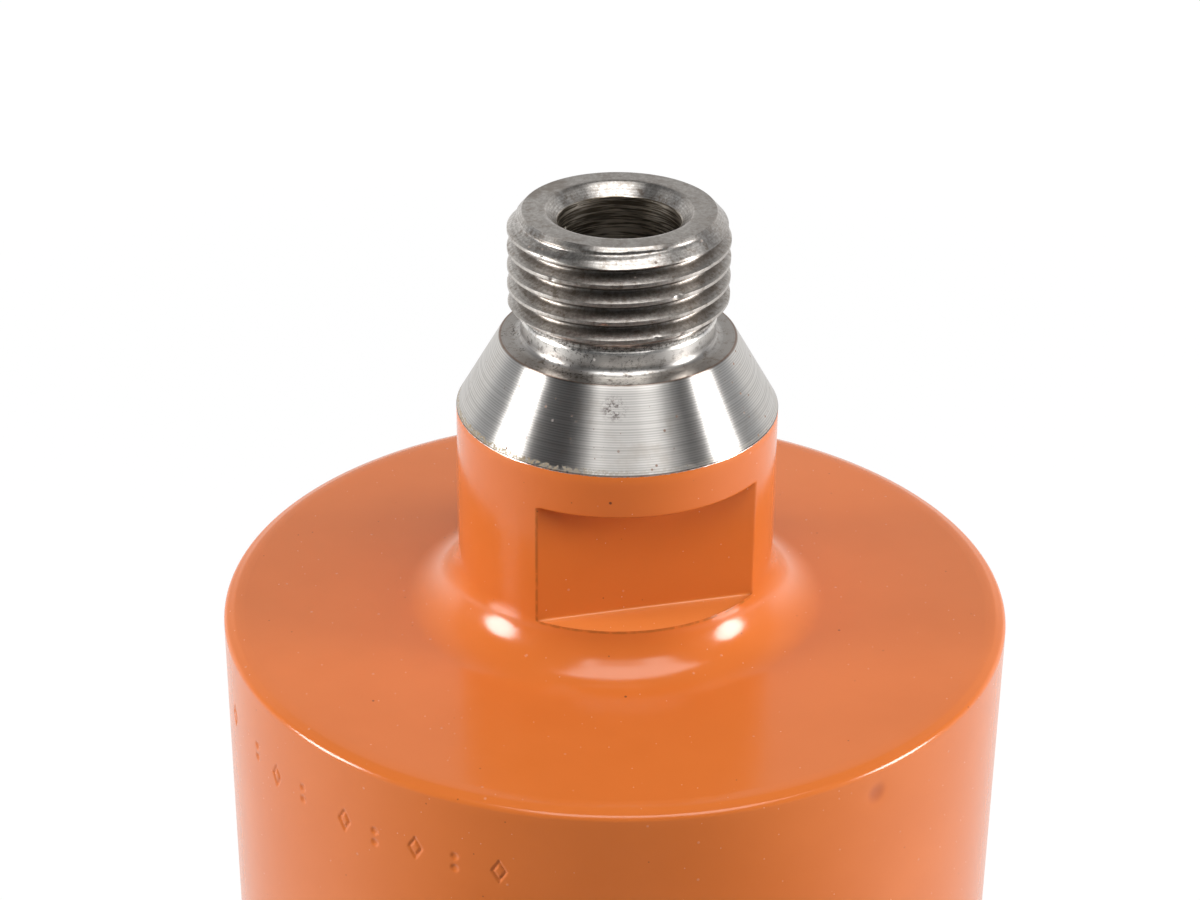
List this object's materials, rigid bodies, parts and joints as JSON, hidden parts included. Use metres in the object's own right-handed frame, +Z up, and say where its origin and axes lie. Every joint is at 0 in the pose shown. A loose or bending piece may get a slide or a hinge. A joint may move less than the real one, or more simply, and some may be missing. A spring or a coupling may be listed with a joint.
{
  "type": "hole saw",
  "caption": "Core-bit hole saw for masonry: painted tube with abrasive segments, closed by a turned hub with wrench flats and a threaded connector with a water bore.",
  "frame": {"origin": "on the axis, in the plane of the cutting rim that it stands on", "axes": "+Z up along the axis from the cutting rim to the threaded connector, -Y towards the front"},
  "size_m": [0.078, 0.078, 0.1983],
  "materials": {
    "orange_paint": "gloss",
    "turned_steel": "turned",
    "abrasive_segment": "sintered, rough"
  },
  "bodies": {
    "root": {"adapter": "turned_steel", "barrel": "orange_paint", "cutting_segment_1": "abrasive_segment", "cutting_segment_2": "abrasive_segment", "cutting_segment_3": "abrasive_segment", "cutting_segment_4": "abrasive_segment", "cutting_segment_5": "abrasive_segment", "cutting_segment_6": "abrasive_segment", "cutting_segment_7": "abrasive_segment", "cutting_segment_8": "abrasive_segment"}
  },
  "joints": []
}
